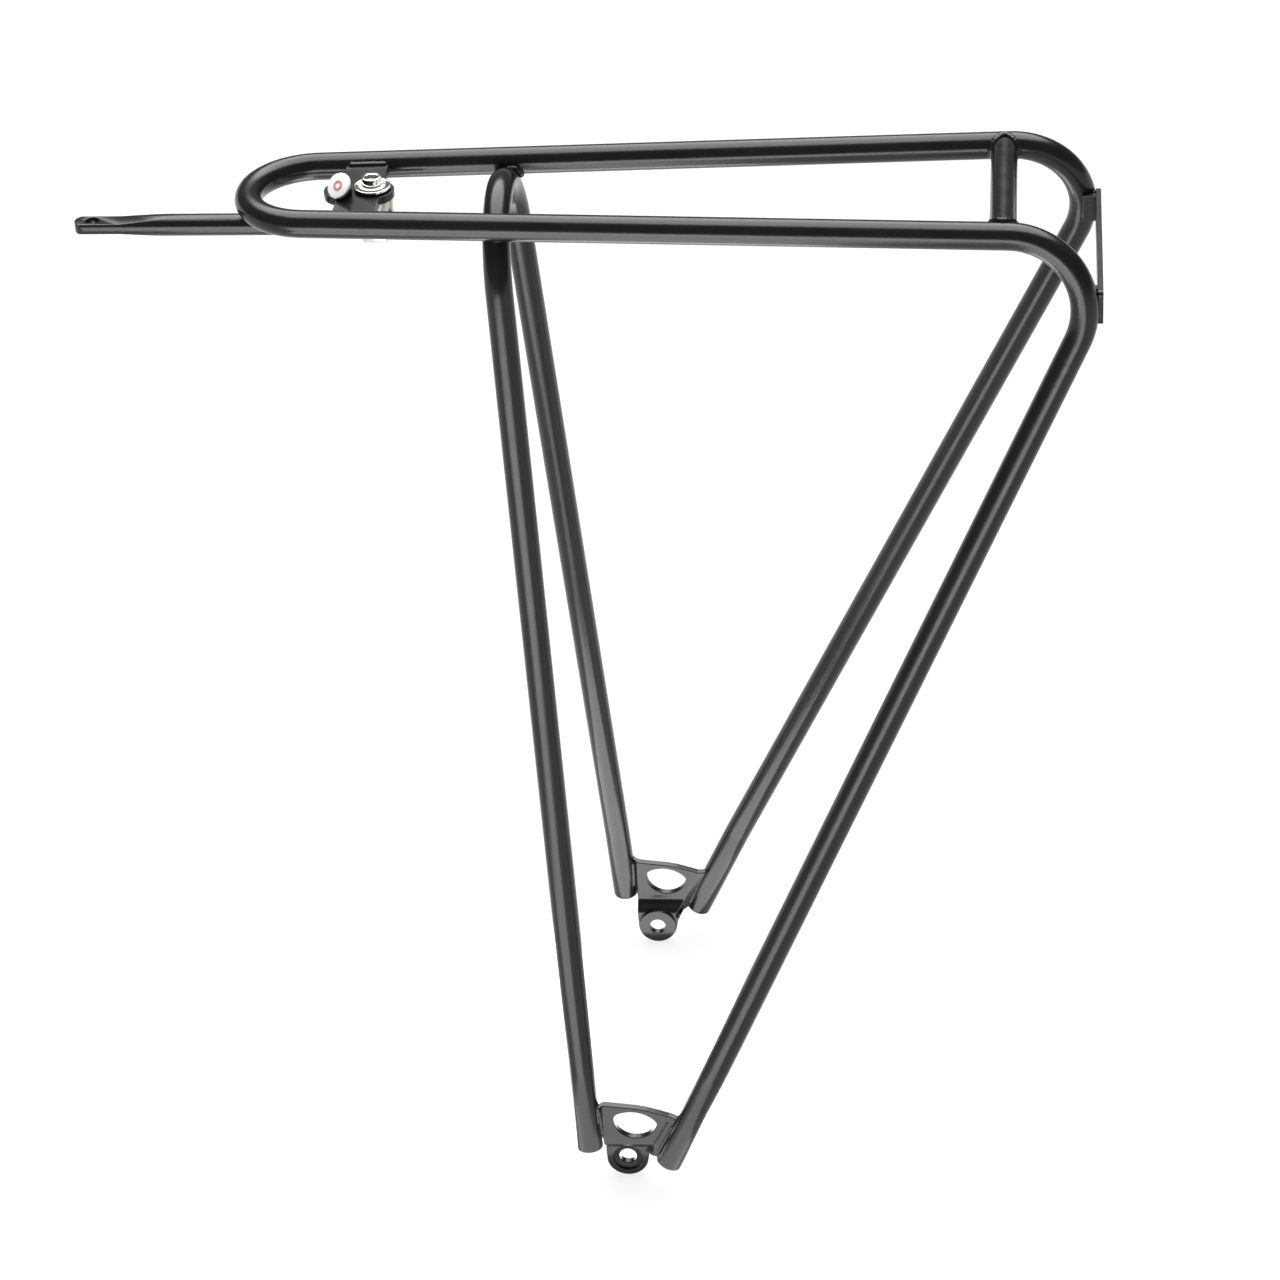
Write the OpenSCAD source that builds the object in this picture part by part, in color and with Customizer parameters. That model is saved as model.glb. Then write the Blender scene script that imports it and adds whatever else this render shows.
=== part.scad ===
// Bicycle rear rack: a bent main tube, a front leg hoop, a rear crossbar, foot plates,
// a stay bracket with a swivelling eye clamp, a sliding stay and a rear light plate.
// Millimetres. X points to the rear of the bicycle, -Y is its left side, Z is up.
// The origin lies midway between the two foot holes.

/* [Tubing] */
// Outer diameter of the main tube and the front hoop
tube_d = 10; // [9.6:0.1:10.2]
// Wall thickness of all tubing
tube_wall = 1; // [0.8:0.1:1.4]
// Outer diameter of the rear crossbar
crossbar_d = 9.6; // [8:0.2:10]

/* [Top loop] */
// Height of the rails above the foot holes
rail_z = 373.4; // [371:0.2:375]
// Centreline radius of the front loop
loop_r = 23.7; // [23.2:0.1:24.2]
// Position of the loop centre along the rack
loop_x = -101.8; // [-104:0.2:-100]
// Angle by which each rail spreads towards the rear
rail_spread = 3.07; // [2.9:0.01:3.2]
// Corner where the rail and rear leg centrelines meet
corner_x = 188.3; // [186:0.1:190]
// Centreline radius of the rear bends
bend_r = 26.8; // [25:0.2:29]
// Position of the rear crossbar
crossbar_x = 145; // [130:1:148]

/* [Legs] */
// Height at which the legs turn towards vertical
knee_z = 42; // [38:1:50]
// Half distance between the leg ends
foot_y = 85.6; // [85:0.1:86]
// Height of the rear leg ends
rear_end_z = 2.9; // [2:0.1:5]
// Height of the front leg ends
front_end_z = 10.1; // [9:0.1:12]
// Centreline radius of the hoop crown
crown_r = 31.5; // [31:0.1:31.8]
// Height of the crown centreline
crown_z = 374.6; // [374:0.1:375]

/* [Foot plates] */
// Thickness of the foot plate sheet
foot_t = 3; // [2.5:0.1:3]
// Inner face of the upper foot panel
panel_y = 80.5; // [80:0.1:81]
// Inner face of the lower tongue
tongue_y = 76.5; // [76:0.1:77]
// Diameter of the foot hole
foot_hole_d = 6.6; // [5.5:0.1:7]

/* [Stay clamp] */
// Thickness of the stay bracket
bracket_t = 3; // [2.5:0.1:3]
// Top face of the stay bracket
bracket_z = 375.5; // [375:0.1:376]
// Position of the clamp axis
clamp_x = -80.6; // [-81:0.1:-80]
// Diameter of the round stay
stay_d = 8; // [7:0.1:8]
// Height of the stay axis
stay_z = 361.8; // [361.4:0.1:362]
// Length of the stay
stay_len = 125; // [115:1:140]
// Diameter of the hole near the stay tip
stay_hole_d = 5.2; // [4.2:0.1:5.4]

/* [Light plate] */
// Height of the light plate
light_h = 13; // [12:0.5:16]
// Thickness of the light plate
light_t = 2; // [1.5:0.1:2.5]
// Distance between the two light screw holes
light_pitch = 50; // [30:1:60]
// Diameter of the light screw holes
light_hole_d = 5.5; // [4.5:0.1:6]

/* [Hidden] */
$fn = 64;
tube_r = tube_d / 2;
bore_r = tube_r - tube_wall;
loop_half = loop_r / cos(rail_spread);
knee_r = 60;
cap_h = 1.4;
cap_edge = 0.8;
// corner points of the right rail and rear leg centreline
rail_start = [loop_x - loop_r * sin(rail_spread), loop_r * cos(rail_spread), rail_z];
rail_corner = [corner_x, rail_y(corner_x), rail_z];
rear_knee = [34.2, 83.5, knee_z];
rear_end = [16.2, foot_y, rear_end_z];
rail_dir = unit(rail_corner - rail_start);
rear_dir = unit(rear_knee - rail_corner);
rear_foot_dir = unit(rear_end - rear_knee);
// corner points of the right front leg centreline, leaning and splayed from the crown
hoop_lean = 3.33;
hoop_splay = 9.4;
crown_mid = [-34.65 + crown_r * sin(hoop_lean), 0, crown_z - crown_r * cos(hoop_lean)];
hoop_up = [-sin(hoop_lean), 0, cos(hoop_lean)];
hoop_start = crown_mid + crown_r * (cos(hoop_splay) * [0, 1, 0] + sin(hoop_splay) * hoop_up);
front_dir = sin(hoop_splay) * [0, 1, 0] - cos(hoop_splay) * hoop_up;
front_knee = hoop_start + front_dir * (hoop_start.z - knee_z) / abs(front_dir.z);
front_end = [-13.5, foot_y, front_end_z];
front_foot_dir = unit(front_end - front_knee);
// each leg as a chain of [run length] and [bend radius, bend angle, roll before it]
seam = 0.02;
groove = 0.08;
loop_inset = short(seam / loop_r * 180 / PI);
crown_inset = short(seam / crown_r * 180 / PI);
rear_back = setback(rail_dir, rear_dir, bend_r);
rear_knee_back = setback(rear_dir, rear_foot_dir, knee_r);
rear_turn = turn(rail_dir, rear_dir);
rear_roll = roll([0, 0, -1], cross(rail_dir, [0, 0, -1]), across(rail_dir, rear_dir));
rear_knee_roll = roll(rolled(rail_dir, across(rail_dir, rear_dir), rear_turn),
    cross(rail_dir, across(rail_dir, rear_dir)), across(rear_dir, rear_foot_dir));
rear_chain = [
    [short(norm(rail_corner - rail_start) - rear_back)],
    [bend_r, rear_turn, rear_roll],
    [short(norm(rear_knee - rail_corner) - rear_back - rear_knee_back)],
    [knee_r, turn(rear_dir, rear_foot_dir), rear_knee_roll],
    [short(norm(rear_end - rear_knee) - rear_knee_back - cap_h)]
];
front_knee_back = setback(front_dir, front_foot_dir, knee_r);
front_knee_roll = roll(rolled([0, 1, 0], -hoop_up, 90 - hoop_splay), cross([0, 1, 0], -hoop_up),
    across(front_dir, front_foot_dir));
front_chain = [
    [short(norm(front_knee - hoop_start) - front_knee_back)],
    [knee_r, turn(front_dir, front_foot_dir), front_knee_roll],
    [short(norm(front_end - front_knee) - front_knee_back - cap_h)]
];
// foot plate
joggle_high = 10.5;
joggle_low = 6;
tongue_r = 8;
boss_r = 7.6;
boss_h = 1.5;
recess_r = 5.5;
recess_depth = 1.5;
// clamp stack
clamp_gap = 0.1;
sleeve_r = 7;
sleeve_top = bracket_z - bracket_t - clamp_gap;
eye_r = 6.9;
eye_w = 8.2;
slot_w = 8.3;
slot_top = stay_z + 7.1;
fit = 0.05;
stud_r = 2.5;
washer_z = bracket_z + clamp_gap;
lock_z = washer_z + 1;
nut_z = lock_z + 1.1;
nut_h = 2.8;
nut_r = 3.6;
washer_r = 6.6;
stay_r = stay_d / 2;
stay_end = -65.5;
stay_tip = stay_end - stay_len;
flat_half = 1.9;
flat_len = 17;
flat_fade = 22;
// badge
badge_lean = 50.9;
badge_turn = 54.1;
badge_at = [-91.3, -6, 379.6];
badge_r = 4.8;
badge_t = 1.1;
seat_at = [-90.8, -4];
seat_r = 3.4;
// light plate
light_x = 179.9;
light_z = 347.5;
light_half = 42;
spacer_x = 173.2;
spacer_y = 35.2;
spacer_t = 3;

function rail_y(x) = loop_half + tan(rail_spread) * (x - loop_x);
function unit(v) = v / norm(v);
function across(a, b) = unit(b - (b * a) * a);
function short(x) = round(x * 1000) / 1000;
function turn(a, b) = short(acos(a * b));
// distance from a corner to the start of its bend
function setback(a, b, radius) = radius * tan(acos(a * b) / 2);
// side direction x of a tube frame along z after a turn of the given angle towards x
function rolled(z, x, angle) = x * cos(angle) - z * sin(angle);
// rotation about the tube that brings side direction x onto n
function roll(x, y, n) = short(atan2(n * y, n * x));

// cross-section of a tube, or of the solid that fills it
module ring(r, hole) {
    difference() {
        circle(r = r);
        if (hole > 0) circle(r = hole);
    }
}

// short core that joins two links of a tube, leaving a hair-thin groove between them
module joining_core(r, hole) {
    translate([0, 0, -2 * seam])
        linear_extrude(height = 4 * seam)
            ring(r - groove, hole > 0 ? hole + groove : 0);
}

// arc of tube from the origin along +Z, turning towards +X
module elbow(radius, angle, r, hole) {
    inset = short(seam / radius * 180 / PI);
    rotate([90, 0, 180])
        translate([-radius, 0, 0])
            rotate([0, 0, inset])
                rotate_extrude(angle = angle - 2 * inset)
                    translate([radius, 0])
                        ring(r, hole);
}

// moves the children from the start to the end of an elbow
module past_elbow(radius, angle) {
    translate([radius, 0, 0])
        rotate([0, angle, 0])
            translate([-radius, 0, 0])
                children();
}

// bent tube drawn link by link from the origin along +Z, with the children at its end
module chain(links, r, hole, i = 0) {
    if (i == len(links)) {
        children();
    } else {
        if (r > 0) joining_core(r, hole);
        if (len(links[i]) == 1) {
            if (r > 0)
                translate([0, 0, seam])
                    linear_extrude(height = links[i][0] - 2 * seam)
                        ring(r, hole);
            translate([0, 0, links[i][0]])
                chain(links, r, hole, i + 1)
                    children();
        } else {
            rotate([0, 0, links[i][2]]) {
                if (r > 0) elbow(links[i][0], links[i][1], r, hole);
                past_elbow(links[i][0], links[i][1])
                    chain(links, r, hole, i + 1)
                        children();
            }
        }
    }
}

module both_sides() {
    children();
    mirror([0, 1, 0]) children();
}

// right rail, rear bend and rear leg
module rear_half(r, hole) {
    translate(rail_start)
        rotate([0, 90, rail_spread])
            chain(rear_chain, r, hole)
                children();
}

// right front leg
module front_half(r, hole) {
    translate(crown_mid + crown_r * hoop_up)
        rotate([0, 90 - hoop_lean, 0])
            rotate([-90, 0, 0])
                past_elbow(crown_r, short(90 - hoop_splay))
                    chain(front_chain, r, hole)
                        children();
}

// solid straight rail used to cope the pieces that meet it
module rail_cut() {
    both_sides()
        translate(rail_start)
            rotate([0, 90, rail_spread])
                cylinder(r = tube_r, h = 250);
}

// front loop with both rails, rear bends and rear legs
module main_tube() {
    color("#1b1b1d") {
        translate([loop_x, 0, rail_z])
            rotate([0, 0, 90 + rail_spread + loop_inset])
                rotate_extrude(angle = 180 - 2 * rail_spread - 2 * loop_inset)
                    translate([loop_r, 0])
                        ring(tube_r, bore_r);
        both_sides() rear_half(tube_r, bore_r);
    }
}

// crown and both front legs, notched where the crown nests against the rails
module front_hoop() {
    color("#1b1b1d")
        difference() {
            union() {
                translate(crown_mid)
                    rotate([0, 90 - hoop_lean, 0])
                        rotate([0, 0, 90 + hoop_splay + crown_inset])
                            rotate_extrude(angle = 180 - 2 * hoop_splay - 2 * crown_inset)
                                translate([crown_r, 0])
                                    ring(tube_r, bore_r);
                both_sides() front_half(tube_r, bore_r);
            }
            rail_cut();
        }
}

// tube between the rails, coped at both ends
module rear_crossbar() {
    half = rail_y(crossbar_x);
    color("#1b1b1d")
        difference() {
            translate([crossbar_x, half, rail_z])
                rotate([90, 0, 0])
                    linear_extrude(height = 2 * half)
                        ring(crossbar_d / 2, crossbar_d / 2 - tube_wall);
            both_sides() rear_half(tube_r, 0);
        }
}

// closing cap with a chamfered edge, pressed into a leg end
module end_cap() {
    color("#202022")
        rotate_extrude()
            polygon([[0, -5], [bore_r, -5], [bore_r, 0], [tube_r, 0], [tube_r, cap_h - cap_edge],
                [tube_r - cap_edge, cap_h], [0, cap_h]]);
}

module right_front_end_cap() {
    front_half(0, 0) end_cap();
}

module left_front_end_cap() {
    mirror([0, 1, 0]) front_half(0, 0) end_cap();
}

module right_rear_end_cap() {
    rear_half(0, 0) end_cap();
}

module left_rear_end_cap() {
    mirror([0, 1, 0]) rear_half(0, 0) end_cap();
}

// outline of the foot plate seen from its side, X across and Z up
module foot_outline() {
    difference() {
        union() {
            circle(r = tongue_r);
            polygon([[-tongue_r, 0], [tongue_r, 0], [8.8, 2.6], [10.4, 4.6], [16, 4.8], [24, 21],
                [17, 24], [12.5, 25.3], [8.5, 26.3], [0, 27.5], [-9, 28.7], [-13, 29], [-13, 14.8],
                [-8.8, 14.5]]);
        }
        // half-moon lightening hole with a flatter upper edge
        intersection() {
            translate([4.2, 21.3]) circle(r = 8.3);
            translate([2.5, 12.9]) circle(r = 12.2);
        }
    }
}

// sheet profile seen from the front, Y across and Z up
module foot_profile() {
    polygon([[panel_y, 40], [panel_y, joggle_high], [tongue_y, joggle_low], [tongue_y, -20],
        [tongue_y + foot_t, -20], [tongue_y + foot_t, joggle_low - 0.6],
        [panel_y + foot_t, joggle_high - 0.6], [panel_y + foot_t, 40]]);
}

// right foot plate: panel, joggled tongue, pressed boss and dished recess
module foot_plate() {
    difference() {
        union() {
            intersection() {
                rotate([90, 0, 0])
                    translate([0, 0, -100])
                        linear_extrude(height = 40)
                            foot_outline();
                translate([-30, 0, 0])
                    rotate([90, 0, 90])
                        linear_extrude(height = 60)
                            foot_profile();
            }
            rotate([-90, 0, 0])
                translate([0, 0, tongue_y - boss_h])
                    cylinder(r = boss_r, h = boss_h);
        }
        rotate([-90, 0, 0]) {
            translate([0, 0, 60]) cylinder(d = foot_hole_d, h = 40);
            translate([0, 0, tongue_y + foot_t - recess_depth]) cylinder(r = recess_r, h = 20);
        }
        rear_half(tube_r, 0);
        front_half(tube_r, 0);
    }
}

module right_foot_plate() {
    color("#1b1b1d") foot_plate();
}

module left_foot_plate() {
    color("#1b1b1d") mirror([0, 1, 0]) foot_plate();
}

// two-lobed plate between the rails, welded at both ends
module stay_bracket() {
    color("#1b1b1d")
        difference() {
            translate([0, 0, bracket_z - bracket_t])
                linear_extrude(height = bracket_t)
                    difference() {
                        union() {
                            translate([-92.8, -24]) square([15.6, 48]);
                            translate([-90.2, 0]) circle(r = 8);
                            translate([clamp_x, 0]) circle(r = 7.8);
                        }
                        translate([clamp_x, 0]) circle(r = stud_r + fit);
                        translate(seat_at) circle(r = 1.5);
                    }
            rail_cut();
        }
}

// flat plate behind the rear bends with two screw holes
module light_plate() {
    color("#1b1b1d")
        difference() {
            translate([light_x - light_t, -light_half, light_z - light_h / 2])
                cube([light_t, 2 * light_half, light_h]);
            for (y = [-light_pitch / 2, light_pitch / 2])
                translate([light_x - 10, y, light_z])
                    rotate([0, 90, 0])
                        cylinder(d = light_hole_d, h = 20);
            both_sides() rear_half(tube_r, 0);
        }
}

// short upright plate between the right rear bend and the light plate
module right_plate_spacer() {
    color("#1b1b1d")
        difference() {
            translate([spacer_x, spacer_y, light_z - 4])
                cube([light_x - light_t - spacer_x, spacer_t, 10]);
            rear_half(tube_r, 0);
        }
}

module left_plate_spacer() {
    mirror([0, 1, 0]) right_plate_spacer();
}

// places the children on the badge plane, facing forwards, outwards and up
module on_badge() {
    translate(badge_at)
        rotate([0, 0, badge_turn])
            rotate([0, -badge_lean, 0])
                children();
}

// wedge under the badge with a peg through the bracket
module badge_seat() {
    color("#161617")
        union() {
            difference() {
                translate([seat_at.x, seat_at.y, bracket_z])
                    cylinder(r = seat_r, h = 5);
                on_badge() cylinder(r = 30, h = 30);
            }
            translate([seat_at.x, seat_at.y, bracket_z - bracket_t - 0.8])
                cylinder(r = 1.5, h = bracket_t + 1.4);
        }
}

module badge_disc() {
    color("#f2f2ef")
        on_badge() cylinder(r = badge_r, h = badge_t);
}

// plain raised ring on the badge face
module badge_ring() {
    color("#b5423c")
        on_badge()
            translate([0, 0, badge_t])
                linear_extrude(height = 0.2)
                    ring(1.9, 1);
}

// slotted sleeve whose two cheeks rest on the stay
module clamp_sleeve() {
    color("#b9b5ab")
        difference() {
            translate([clamp_x, 0, stay_z])
                cylinder(r = sleeve_r, h = sleeve_top - stay_z);
            translate([clamp_x - slot_w / 2, -10, stay_z - 1])
                cube([slot_w, 20, slot_top - stay_z + 1]);
            translate([clamp_x - 10, 0, stay_z])
                rotate([0, 90, 0])
                    cylinder(r = stay_r + fit, h = 20);
            translate([clamp_x, 0, stay_z]) cylinder(r = stud_r, h = 20);
        }
}

// eye around the stay with a stud up through sleeve, bracket and washers
module eye_bolt() {
    color("#b9b5ab")
        difference() {
            union() {
                translate([clamp_x - eye_w / 2, 0, stay_z])
                    rotate([0, 90, 0])
                        cylinder(r = eye_r, h = eye_w);
                translate([clamp_x, 0, stay_z]) cylinder(r = stud_r, h = nut_z + 1 - stay_z);
            }
            translate([clamp_x - 10, 0, stay_z])
                rotate([0, 90, 0])
                    cylinder(r = stay_r + fit, h = 20);
        }
}

// dished washer with a raised outer rim
module cup_washer() {
    color("#d9d9d6")
        translate([clamp_x, 0, washer_z])
            rotate_extrude()
                polygon([[stud_r, 0], [5.2, 0], [washer_r, 0.6], [washer_r, 1.5], [6, 1.5],
                    [5.2, 1], [stud_r, 1]]);
}

// split spring washer
module lock_washer() {
    color("#a9a8a2")
        translate([clamp_x, 0, lock_z])
            difference() {
                linear_extrude(height = 1.1) ring(4.6, stud_r);
                translate([2, -0.4, -1]) cube([5, 0.8, 4]);
            }
}

// low round nut with a hexagon socket, screwed onto the stud
module clamp_nut() {
    color("#e4e4e1")
        translate([clamp_x, 0, nut_z])
            difference() {
                rotate_extrude()
                    polygon([[0, 0], [nut_r, 0], [nut_r, nut_h - 0.4], [nut_r - 0.4, nut_h], [0, nut_h]]);
                translate([0, 0, -1]) cylinder(r = stud_r + fit, h = 2.2);
                translate([0, 0, 1.7]) cylinder(d = 4.6, h = 4, $fn = 6);
            }
}

// round rod flattened at its holed tip
module stay() {
    color("#1b1b1d")
        difference() {
            translate([stay_tip, 0, stay_z])
                rotate([0, 90, 0])
                    cylinder(r = stay_r, h = stay_len);
            // flats that fade into the round rod
            for (side = [-1, 1])
                translate([0, 0, stay_z])
                    scale([1, 1, side])
                        rotate([90, 0, 0])
                            translate([0, 0, -10])
                                linear_extrude(height = 20)
                                    polygon([[stay_tip - 1, flat_half], [stay_tip + flat_len, flat_half],
                                        [stay_tip + flat_len + flat_fade, stay_r], [stay_tip + flat_len + flat_fade, 10],
                                        [stay_tip - 1, 10]]);
            // rounded tip
            difference() {
                translate([stay_tip - 1, -10, stay_z - 10]) cube([stay_r + 1, 20, 20]);
                translate([stay_tip + stay_r, 0, stay_z - 10]) cylinder(r = stay_r, h = 20);
            }
            translate([stay_tip + 6.5, 0, stay_z - 10]) cylinder(d = stay_hole_d, h = 20);
        }
}

main_tube();
front_hoop();
rear_crossbar();
stay_bracket();
light_plate();
left_plate_spacer();
right_plate_spacer();
left_foot_plate();
right_foot_plate();
left_front_end_cap();
right_front_end_cap();
left_rear_end_cap();
right_rear_end_cap();
badge_seat();
badge_disc();
badge_ring();
clamp_sleeve();
eye_bolt();
cup_washer();
lock_washer();
clamp_nut();
stay();
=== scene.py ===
"""Looks of the bicycle rear rack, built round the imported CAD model.

Lengths are millimetres in the shared frame (X to the rear of the bicycle, -Y its left side, Z up,
origin midway between the foot holes) and become metres when a mesh is made. The floor and the lights
are given in metres.
"""

import math
import random

import bmesh
import bpy
import numpy as np
from mathutils import Matrix, Vector

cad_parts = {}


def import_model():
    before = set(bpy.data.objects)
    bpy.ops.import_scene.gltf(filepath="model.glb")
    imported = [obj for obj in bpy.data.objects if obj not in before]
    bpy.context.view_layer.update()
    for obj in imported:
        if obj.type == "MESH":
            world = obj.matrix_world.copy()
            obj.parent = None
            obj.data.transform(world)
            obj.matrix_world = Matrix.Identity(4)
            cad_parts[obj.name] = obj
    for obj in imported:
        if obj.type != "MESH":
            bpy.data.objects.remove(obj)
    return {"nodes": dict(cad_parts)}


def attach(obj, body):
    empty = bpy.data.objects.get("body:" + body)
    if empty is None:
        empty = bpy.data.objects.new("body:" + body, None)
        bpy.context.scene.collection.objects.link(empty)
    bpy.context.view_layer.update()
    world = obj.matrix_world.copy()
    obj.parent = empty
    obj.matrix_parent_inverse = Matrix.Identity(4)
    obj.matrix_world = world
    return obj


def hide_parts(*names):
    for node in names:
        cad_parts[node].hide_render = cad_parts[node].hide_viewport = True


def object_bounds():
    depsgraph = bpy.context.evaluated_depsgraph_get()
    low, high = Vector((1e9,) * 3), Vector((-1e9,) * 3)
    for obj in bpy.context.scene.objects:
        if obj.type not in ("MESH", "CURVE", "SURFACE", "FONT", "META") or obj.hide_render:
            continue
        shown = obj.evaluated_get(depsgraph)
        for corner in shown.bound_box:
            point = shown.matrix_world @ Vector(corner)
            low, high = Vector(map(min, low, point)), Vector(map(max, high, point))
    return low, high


MM = 0.001
SEED = 7

# Tubing
TUBE_R = 5.0
CROSSBAR_R = 4.8
RAIL_Z = 373.4
LOOP_R = 23.7
LOOP_X = -101.8
RAIL_SPREAD = math.radians(3.07)
CORNER_X = 188.3
BEND_R = 26.8
KNEE_R = 60.0
CROSSBAR_X = 145.0
REAR_KNEE = (34.2, 83.5, 42.0)
REAR_END = (16.2, 85.6, 2.9)
CROWN_R = 31.5
CROWN_TOP = (-34.65, 0.0, 374.6)
HOOP_LEAN = math.radians(3.33)
HOOP_SPLAY = math.radians(9.4)
FRONT_KNEE_Z = 42.0
FRONT_END = (-13.5, 85.6, 10.1)
CAP_H = 1.4
CAP_EDGE_R = TUBE_R - 0.04
CAP_SPIGOT_R = 3.9
CAP_SPIGOT_H = 4.5

# Foot plates
FOOT_T = 3.0
PANEL_Y = 80.5
TONGUE_Y = 76.5
TONGUE_R = 8.0
JOGGLE_LOW = 5.4
JOGGLE_HIGH = 10.4
BOSS_R = 7.6
BOSS_H = 1.5
FOOT_HOLE_R = 3.3
RECESS_R = 5.5
RECESS_DEPTH = 1.5
FOOT_TOP = [(21, 22.6), (17, 23.4), (12.5, 24.9), (8.5, 26.1), (4.5, 26.9), (0, 27.4), (-4.5, 27.9),
            (-10.3, 28.7)]
FRONT_CREASE_X = -7.8
REAR_CREASE = ((8.6, 6.1), (17.0, 21.6))
CREASE_BEAD = ((9.8, 8.2), (11.2, 10.8), (13.9, 15.8), (16.6, 20.8))
MOON_CIRCLES = ((4.2, 21.3, 8.3), (2.5, 12.9, 12.2))
MOON_MIDDLE = (3.6, 18.8)
MOON_POINTS = 96

# Stay bracket and clamp
BRACKET_T = 3.0
BRACKET_Z = 375.5
BRACKET_X = (-92.8, -77.2)
CLAMP_X = -80.6
STUD_R = 2.5
FIT = 0.05
WASHER_Z = 375.6
LOCK_Z = 376.6
NUT_Z = 377.7
NUT_R = 3.6
NUT_H = 2.8
WASHER_R = 6.6
WASHER_FLAT_R = 5.2
WASHER_T = 1.0
LOCK_R = 4.6
LOCK_T = 1.1
SOCKET_R = 2.3
SOCKET_FLOOR = 1.7
SOCKET_FLOOR_T = 0.6

# Badge
BADGE_AT = Vector((-91.3, -6.0, 379.6))
BADGE_LEAN = math.radians(50.9)
BADGE_TURN = math.radians(54.1)
BADGE_R = 4.8
BADGE_T = 1.1
BADGE_FLAT_R = 2.7
MARK_R = (1.0, 1.9)

# Light plate
LIGHT_X = 179.9
LIGHT_T = 2.0
LIGHT_Z = 347.5
LIGHT_H = 13.0
LIGHT_HALF = 42.0
LIGHT_PITCH = 50.0
LIGHT_HOLE_R = 2.75
LIGHT_CORNER = 1.6
SPACER_X = (173.2, 177.9)
SPACER_Y = (35.2, 38.2)
SPACER_Z = (343.5, 353.5)
LIGHT_BEADS = ((((177.3, 39.9, 341.6), (177.3, 39.9, 353.6)), 1.1),
               (((173.4, 37.2, 344.0), (174.2, 37.2, 353.2)), 0.9))

# Camera
CAMERA_RIGHT = Vector((0.99589364, 0.07811232, -0.04576386))
CAMERA_UP = Vector((-0.00192017, 0.52361647, 0.85195194))
CAMERA_AHEAD = Vector((-0.09051065, 0.84836564, -0.5216163))
CAMERA_AT = Vector((158.4, -1418.9, 1058.3))
CAMERA_LENS = 124.06
CAMERA_SENSOR = 36
CAMERA_CLIP = (0.05, 40)

# Studio, in metres, watts and degrees
FLOOR_HALF = 12.0
FLOOR_DROP = 0.0005
FLOOR_SHADES = (0.11, 0.13)
FLOOR_GLOW = 0.84
SOFT_BOX = (0.0, 0.375, 0.927)
SOFT_BOX_EDGE = (42, 29)
SOFT_BOX_GLOW = 7.4
ROOM_GLOW = 0.15
BOUNCE_RISE = 0.001
# panels of light lying on the floor, facing up: name, x, y, size and power
BOUNCES = (("foot_bounce", -0.02, -0.15, (0.12, 0.12), 0.16),
           ("near_bounce", -0.13, -0.36, (0.34, 0.30), 1.6),
           ("middle_bounce", -0.2, -0.71, (0.5, 0.4), 3.4),
           ("between_bounce", -0.03, 0.0, (0.16, 0.14), 0.4),
           ("far_bounce", -0.3, -2.2, (1.4, 2.6), 80))

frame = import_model()
CAD_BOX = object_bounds()
RNG = random.Random(SEED)


# ---------------------------------------------------------------- meshes

def make_object(name, mesh, material, body, replaces=()):
    """Links a mesh as an object with its material, under its body, hiding the CAD parts it replaces."""
    obj = bpy.data.objects.new(name, mesh)
    bpy.context.scene.collection.objects.link(obj)
    mesh.materials.clear()
    mesh.materials.append(material)
    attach(obj, body)
    if replaces:
        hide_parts(*replaces)
    return obj


def mesh_from(name, verts, faces, smooth_angle=35):
    """Mesh from millimetre points, smooth apart from edges sharper than smooth_angle degrees."""
    mesh = bpy.data.meshes.new(name)
    mesh.from_pydata([tuple(c * MM for c in v) for v in verts], [], faces)
    bm = bmesh.new()
    bm.from_mesh(mesh)
    bmesh.ops.recalc_face_normals(bm, faces=bm.faces)
    bm.to_mesh(mesh)
    bm.free()
    mesh.shade_smooth()
    mesh.set_sharp_from_angle(angle=math.radians(smooth_angle))
    return mesh


def joined(name, meshes):
    """One mesh from several."""
    bm = bmesh.new()
    for m in meshes:
        bm.from_mesh(m)
    out = bpy.data.meshes.new(name)
    bm.to_mesh(out)
    bm.free()
    return out


def ring_frames(path, closed=False):
    """Side and up directions along a path, carried from point to point without twist."""
    pts = [Vector(p) for p in path]
    n = len(pts)
    tangents = []
    for i in range(n):
        a = pts[i - 1] if (closed or i > 0) else pts[i]
        b = pts[(i + 1) % n] if (closed or i < n - 1) else pts[i]
        tangents.append((b - a).normalized())
    side = tangents[0].orthogonal().normalized()
    frames = []
    for t in tangents:
        side = (side - t * side.dot(t)).normalized()
        frames.append((side.copy(), t.cross(side)))
    return pts, tangents, frames


def sweep(path, section, closed=False):
    """Vertices and faces of a section (a function of index and angle to side, up) along a path."""
    pts, _, frames = ring_frames(path, closed)
    verts = []
    count = len(section(0))
    for i, (p, (side, up)) in enumerate(zip(pts, frames)):
        for a, b in section(i):
            verts.append(p + side * a + up * b)
    faces = []
    rows = len(pts)
    for i in range(rows if closed else rows - 1):
        for j in range(count):
            k = (j + 1) % count
            n = (i + 1) % rows
            faces.append((i * count + j, i * count + k, n * count + k, n * count + j))
    if not closed:
        faces.append(tuple(range(count - 1, -1, -1)))
        faces.append(tuple((rows - 1) * count + j for j in range(count)))
    return verts, faces


def circle(radius, count=48):
    return [(radius * math.cos(math.tau * j / count), radius * math.sin(math.tau * j / count))
            for j in range(count)]


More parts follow.
